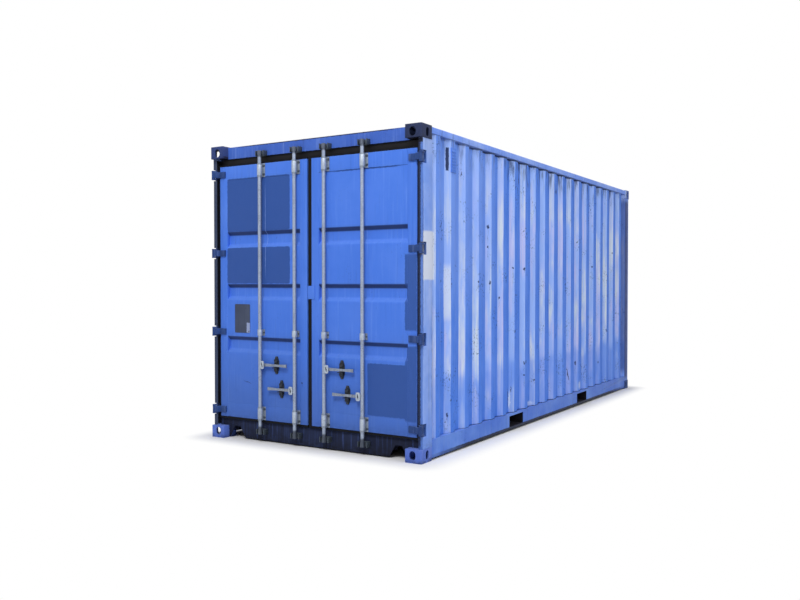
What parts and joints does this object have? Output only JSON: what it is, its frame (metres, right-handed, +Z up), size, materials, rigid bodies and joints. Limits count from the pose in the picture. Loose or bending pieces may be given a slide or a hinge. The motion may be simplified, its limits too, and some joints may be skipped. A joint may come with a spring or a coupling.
{
  "type": "shipping container",
  "caption": "Steel box container with corrugated walls, cast corners, a pair of cargo doors on hinges, turning lock bars with lift handles, and fork pockets in its base.",
  "frame": {"origin": "ground level under the middle of the box", "axes": "+X along the length towards the blind end, +Y towards the left door, +Z up"},
  "size_m": [6.058, 2.438, 2.896],
  "materials": {
    "chalky_blue_paint": "weathered, chalked blue paint on corrugated sheet",
    "blue_frame_paint": "worn blue paint on folded steel",
    "blue_door_paint": "satin blue paint with repainted patches",
    "scuffed_casting_paint": "scuffed dark blue paint on cast steel",
    "dark_underframe_paint": "dirty dark paint with rust",
    "hinge_paint": "painted forged steel, worn at the edges",
    "galvanised_steel": "dull hot-dip galvanised steel",
    "door_rubber": "matt black extruded rubber",
    "floor_plywood": "oiled plywood boards"
  },
  "bodies": {
    "frame": {"right_side_wall": "chalky_blue_paint", "left_side_wall": "chalky_blue_paint", "front_wall": "chalky_blue_paint", "roof_panel": "chalky_blue_paint", "front_roof_plate": "chalky_blue_paint", "rear_corner_posts": "blue_frame_paint", "front_corner_posts": "blue_frame_paint", "door_header": "blue_frame_paint", "front_top_rail": "blue_frame_paint", "front_bottom_rail": "blue_frame_paint", "top_side_rails": "blue_frame_paint", "bottom_side_rails": "blue_frame_paint", "side_ventilators": "blue_frame_paint", "bottom_corner_castings": "scuffed_casting_paint", "top_corner_castings": "scuffed_casting_paint", "door_sill": "dark_underframe_paint", "cross_members": "dark_underframe_paint", "forklift_pockets": "dark_underframe_paint", "hinge_lugs": "hinge_paint", "header_cam_keepers": "galvanised_steel", "sill_cam_keepers": "galvanised_steel", "plywood_floor": "floor_plywood"},
    "right_door": {"right_door_stiles": "blue_door_paint", "right_door_rails": "blue_door_paint", "right_door_panel": "blue_door_paint", "right_door_gasket": "door_rubber", "right_hinge_blades": "hinge_paint", "right_bar_brackets": "galvanised_steel", "right_handle_catches": "galvanised_steel", "right_door_lap_plate": "hinge_paint"},
    "left_door": {"left_door_stiles": "blue_door_paint", "left_door_rails": "blue_door_paint", "left_door_panel": "blue_door_paint", "left_door_gasket": "door_rubber", "left_hinge_blades": "hinge_paint", "left_bar_brackets": "galvanised_steel", "left_handle_catches": "galvanised_steel"},
    "left_outer_bar": {"left_outer_lock_bar": "galvanised_steel"},
    "left_outer_handle": {"left_outer_handle": "galvanised_steel"},
    "left_inner_bar": {"left_inner_lock_bar": "galvanised_steel"},
    "left_inner_handle": {"left_inner_handle": "galvanised_steel"},
    "right_inner_bar": {"right_inner_lock_bar": "galvanised_steel"},
    "right_inner_handle": {"right_inner_handle": "galvanised_steel"},
    "right_outer_bar": {"right_outer_lock_bar": "galvanised_steel"},
    "right_outer_handle": {"right_outer_handle": "galvanised_steel"}
  },
  "joints": [
    {"name": "right_door_swing", "type": "hinge", "parent": "frame", "child": "right_door", "pos_m": [-3.013, -1.203, 0], "axis": [0, 0, 1], "range_deg": [0, 265]},
    {"name": "left_door_swing", "type": "hinge", "parent": "frame", "child": "left_door", "pos_m": [-3.013, 1.203, 0], "axis": [0, 0, -1], "range_deg": [0, 265]},
    {"name": "left_outer_bar_turn", "type": "hinge", "parent": "left_door", "child": "left_outer_bar", "pos_m": [-3.007, 0.598, 0], "axis": [0, 0, 1], "range_deg": [-110, 0]},
    {"name": "left_outer_handle_lift", "type": "hinge", "parent": "left_outer_bar", "child": "left_outer_handle", "pos_m": [-3.007, 0.56, 0.755], "axis": [-1, 0, 0], "range_deg": [0, 40]},
    {"name": "left_inner_bar_turn", "type": "hinge", "parent": "left_door", "child": "left_inner_bar", "pos_m": [-3.007, 0.172, 0], "axis": [0, 0, -1], "range_deg": [-110, 0]},
    {"name": "left_inner_handle_lift", "type": "hinge", "parent": "left_inner_bar", "child": "left_inner_handle", "pos_m": [-3.007, 0.21, 0.529], "axis": [1, 0, 0], "range_deg": [0, 40]},
    {"name": "right_inner_bar_turn", "type": "hinge", "parent": "right_door", "child": "right_inner_bar", "pos_m": [-3.007, -0.172, 0], "axis": [0, 0, 1], "range_deg": [-110, 0]},
    {"name": "right_inner_handle_lift", "type": "hinge", "parent": "right_inner_bar", "child": "right_inner_handle", "pos_m": [-3.007, -0.21, 0.755], "axis": [-1, 0, 0], "range_deg": [0, 40]},
    {"name": "right_outer_bar_turn", "type": "hinge", "parent": "right_door", "child": "right_outer_bar", "pos_m": [-3.007, -0.598, 0], "axis": [0, 0, -1], "range_deg": [-110, 0]},
    {"name": "right_outer_handle_lift", "type": "hinge", "parent": "right_outer_bar", "child": "right_outer_handle", "pos_m": [-3.007, -0.56, 0.529], "axis": [1, 0, 0], "range_deg": [0, 40]}
  ]
}
